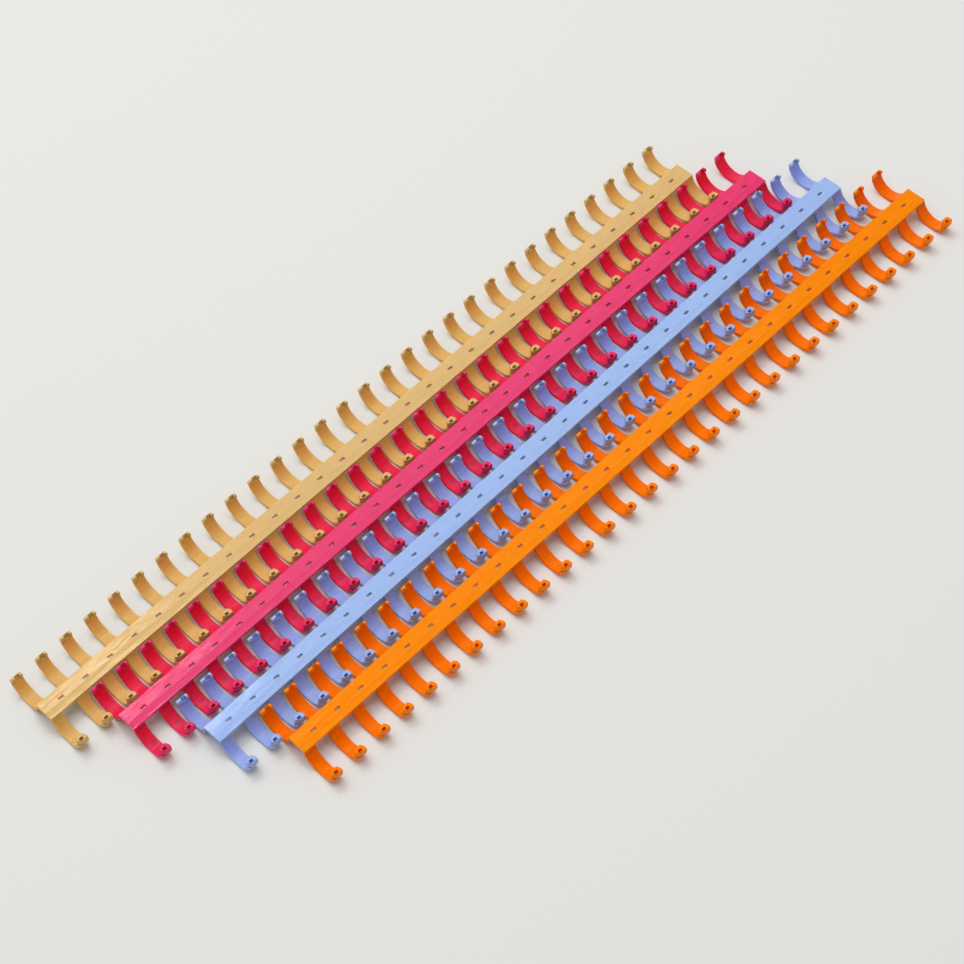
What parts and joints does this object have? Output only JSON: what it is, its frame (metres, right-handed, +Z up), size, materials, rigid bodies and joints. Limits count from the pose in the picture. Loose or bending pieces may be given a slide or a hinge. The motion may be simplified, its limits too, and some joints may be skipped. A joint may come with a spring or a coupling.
{
  "type": "loose-leaf binding comb set",
  "caption": "Set of open plastic binding combs lying side by side: slotted strips with rows of living-hinged half rings that clasp shut to hold punched sheets.",
  "frame": {"origin": "middle of the set's box, on the table", "axes": "+X along the strips towards their far ends in the picture, +Y towards the tan comb, +Z up"},
  "size_m": [0.3224, 0.0948, 0.0072],
  "materials": {
    "tan_plastic": "moulded plastic, satin gloss, dyed through",
    "pink_plastic": "moulded plastic, satin gloss, dyed through",
    "blue_plastic": "moulded plastic, satin gloss, dyed through",
    "orange_plastic": "moulded plastic, satin gloss, dyed through"
  },
  "bodies": {
    "tan_comb": {"tan_strip": "tan_plastic", "tan_left_hinges": "tan_plastic", "tan_right_hinges": "tan_plastic"},
    "tan_left_row": {"tan_left_rings": "tan_plastic"},
    "tan_right_row": {"tan_right_rings": "tan_plastic"},
    "pink_comb": {"pink_strip": "pink_plastic", "pink_left_hinges": "pink_plastic", "pink_right_hinges": "pink_plastic"},
    "pink_left_row": {"pink_left_rings": "pink_plastic"},
    "pink_right_row": {"pink_right_rings": "pink_plastic"},
    "blue_comb": {"blue_strip": "blue_plastic", "blue_left_hinges": "blue_plastic", "blue_right_hinges": "blue_plastic"},
    "blue_left_row": {"blue_left_rings": "blue_plastic"},
    "blue_right_row": {"blue_right_rings": "blue_plastic"},
    "orange_comb": {"orange_strip": "orange_plastic", "orange_left_hinges": "orange_plastic", "orange_right_hinges": "orange_plastic"},
    "orange_left_row": {"orange_left_rings": "orange_plastic"},
    "orange_right_row": {"orange_right_rings": "orange_plastic"}
  },
  "joints": [
    {"name": "tan_left_close", "type": "hinge", "parent": "tan_comb", "child": "tan_left_row", "pos_m": [-0.02142, 0.0351, 0.005], "axis": [1, 0, 0], "range_deg": [0, 100], "stiffness_Nm_per_rad": 0.002},
    {"name": "tan_right_close", "type": "hinge", "parent": "tan_comb", "child": "tan_right_row", "pos_m": [-0.02142, 0.0284, 0.005], "axis": [-1, 0, 0], "range_deg": [0, 100], "stiffness_Nm_per_rad": 0.002},
    {"name": "pink_left_close", "type": "hinge", "parent": "pink_comb", "child": "pink_left_row", "pos_m": [-0.00718, 0.01522, 0.005], "axis": [1, 0.0017, 0], "range_deg": [0, 100], "stiffness_Nm_per_rad": 0.002},
    {"name": "pink_right_close", "type": "hinge", "parent": "pink_comb", "child": "pink_right_row", "pos_m": [-0.00717, 0.00852, 0.005], "axis": [-1, -0.0017, 0], "range_deg": [0, 100], "stiffness_Nm_per_rad": 0.002},
    {"name": "pink_lift", "type": "slide", "parent": "tan_comb", "child": "pink_comb", "axis": [0, 0, 1], "range_m": [0, 0.03]},
    {"name": "blue_left_close", "type": "hinge", "parent": "blue_comb", "child": "blue_left_row", "pos_m": [0.00706, -0.00557, 0.005], "axis": [1, 0.0052, 0], "range_deg": [0, 100], "stiffness_Nm_per_rad": 0.002},
    {"name": "blue_right_close", "type": "hinge", "parent": "blue_comb", "child": "blue_right_row", "pos_m": [0.0071, -0.01227, 0.005], "axis": [-1, -0.0052, 0], "range_deg": [0, 100], "stiffness_Nm_per_rad": 0.002},
    {"name": "blue_lift", "type": "slide", "parent": "tan_comb", "child": "blue_comb", "axis": [0, 0, 1], "range_m": [0, 0.03]},
    {"name": "orange_left_close", "type": "hinge", "parent": "orange_comb", "child": "orange_left_row", "pos_m": [0.02135, -0.02755, 0.005], "axis": [1, -0.0061, 0], "range_deg": [0, 100], "stiffness_Nm_per_rad": 0.002},
    {"name": "orange_right_close", "type": "hinge", "parent": "orange_comb", "child": "orange_right_row", "pos_m": [0.02131, -0.03425, 0.005], "axis": [-1, 0.0061, 0], "range_deg": [0, 100], "stiffness_Nm_per_rad": 0.002},
    {"name": "orange_lift", "type": "slide", "parent": "tan_comb", "child": "orange_comb", "axis": [0, 0, 1], "range_m": [0, 0.03]}
  ]
}
